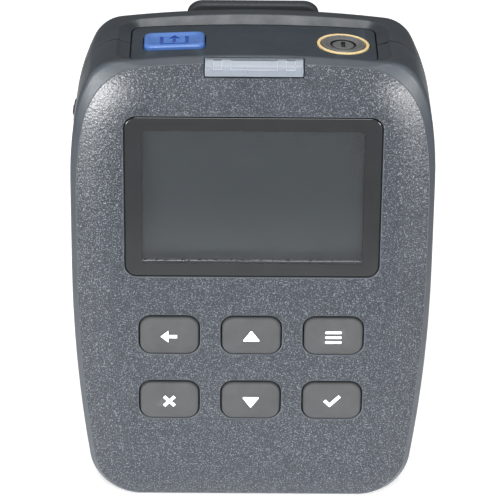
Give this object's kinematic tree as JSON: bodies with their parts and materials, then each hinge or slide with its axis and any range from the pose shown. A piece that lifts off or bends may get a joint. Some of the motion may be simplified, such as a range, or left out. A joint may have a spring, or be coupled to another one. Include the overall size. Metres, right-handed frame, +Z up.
{
  "type": "obd code reader",
  "caption": "Hand-held vehicle diagnostic code reader: rounded case, display and keypad, keys and status light in the top end, belt clip, battery bay and cable inlet.",
  "frame": {"origin": "middle of the lower end face the reader stands on, centred on the whole depth with its belt clip", "axes": "+X to the reader's right as its display is faced, +Y out of its back, +Z up towards the key panel; the display faces -Y"},
  "size_m": [0.0921, 0.0454, 0.1265],
  "materials": {
    "case_grey": "fine sparkle texture, satin edges",
    "panel_dark": "fine matt",
    "key_blue": "gloss",
    "ring_amber": "translucent, gloss",
    "button_grey": "satin",
    "lens_clear": "clear, polished",
    "window_glass": "polished, dark behind",
    "rubber": "matt",
    "steel": "plated",
    "brass": "gold flashed",
    "board_green": "solder resist",
    "chip_black": "moulded",
    "film": "polyimide film",
    "cell_skin": "printed sleeve, left plain"
  },
  "bodies": {
    "case": {"bus_transceiver": "chip_black", "buzzer": "chip_black", "case_screw_lower_left": "steel", "case_screw_lower_right": "steel", "case_screw_upper_left": "steel", "case_screw_upper_right": "steel", "cell_lower": "cell_skin", "cell_upper": "cell_skin", "clip_bracket": "case_grey", "clip_pin": "steel", "clip_screw_lower": "steel", "clip_screw_upper": "steel", "clip_spring": "steel", "contact_bridge": "steel", "contact_minus": "steel", "contact_plus": "steel", "crystal": "steel", "display_panel": "window_glass", "display_ribbon": "film", "display_tray": "steel", "display_window": "window_glass", "dome_sheet": "film", "front_shell": "case_grey", "inlet_body": "chip_black", "inlet_pins": "brass", "inlet_shell": "steel", "jack_post_left": "steel", "jack_post_right": "steel", "light_bar": "lens_clear", "light_board": "board_green", "main_board": "board_green", "memory_chip": "chip_black", "power_inductor": "chip_black", "power_ring": "ring_amber", "power_switch": "chip_black", "processor": "chip_black", "rear_shell": "case_grey", "scan_switch": "chip_black", "switch_board": "board_green", "top_panel": "panel_dark", "usb_board": "board_green", "usb_socket": "steel"},
    "scan_button": {"scan_button": "key_blue"},
    "power_button": {"power_button": "button_grey"},
    "belt_clip": {"belt_clip": "case_grey"},
    "battery_door": {"battery_door": "case_grey"},
    "port_cover": {"port_cover": "rubber"},
    "key_back": {"key_back": "rubber"},
    "key_up": {"key_up": "rubber"},
    "key_info": {"key_info": "rubber"},
    "key_erase": {"key_erase": "rubber"},
    "key_down": {"key_down": "rubber"},
    "key_enter": {"key_enter": "rubber"}
  },
  "joints": [
    {"name": "scan_press", "type": "slide", "parent": "case", "child": "scan_button", "axis": [0.0657, 0, -0.9978], "range_m": [0, 0.0009], "stiffness_N_per_m": 900, "springref_m": -0.0005},
    {"name": "power_press", "type": "slide", "parent": "case", "child": "power_button", "axis": [-0.0733, 0, -0.9973], "range_m": [0, 0.0007], "stiffness_N_per_m": 900, "springref_m": -0.0005},
    {"name": "key_back_press", "type": "slide", "parent": "case", "child": "key_back", "axis": [0, 1, 0], "range_m": [0, 0.0007], "stiffness_N_per_m": 900, "springref_m": -0.0005},
    {"name": "key_up_press", "type": "slide", "parent": "case", "child": "key_up", "axis": [0, 1, 0], "range_m": [0, 0.0007], "stiffness_N_per_m": 900, "springref_m": -0.0005},
    {"name": "key_info_press", "type": "slide", "parent": "case", "child": "key_info", "axis": [0, 1, 0], "range_m": [0, 0.0007], "stiffness_N_per_m": 900, "springref_m": -0.0005},
    {"name": "key_erase_press", "type": "slide", "parent": "case", "child": "key_erase", "axis": [0, 1, 0], "range_m": [0, 0.0007], "stiffness_N_per_m": 900, "springref_m": -0.0005},
    {"name": "key_down_press", "type": "slide", "parent": "case", "child": "key_down", "axis": [0, 1, 0], "range_m": [0, 0.0007], "stiffness_N_per_m": 900, "springref_m": -0.0005},
    {"name": "key_enter_press", "type": "slide", "parent": "case", "child": "key_enter", "axis": [0, 1, 0], "range_m": [0, 0.0007], "stiffness_N_per_m": 900, "springref_m": -0.0005},
    {"name": "belt_clip_hinge", "type": "hinge", "parent": "case", "child": "belt_clip", "pos_m": [0, 0.0176, 0.1045], "axis": [1, 0, 0], "range_deg": [0, 16], "stiffness_Nm_per_rad": 0.4, "springref_deg": -20.05},
    {"name": "battery_door_hinge", "type": "hinge", "parent": "case", "child": "battery_door", "pos_m": [0, 0.0133, 0.0174], "axis": [-1, 0, 0], "range_deg": [0, 75]},
    {"name": "port_cover_hinge", "type": "hinge", "parent": "case", "child": "port_cover", "pos_m": [-0.046, 0.0033, 0.0879], "axis": [0, -1, 0], "range_deg": [0, 100]}
  ]
}
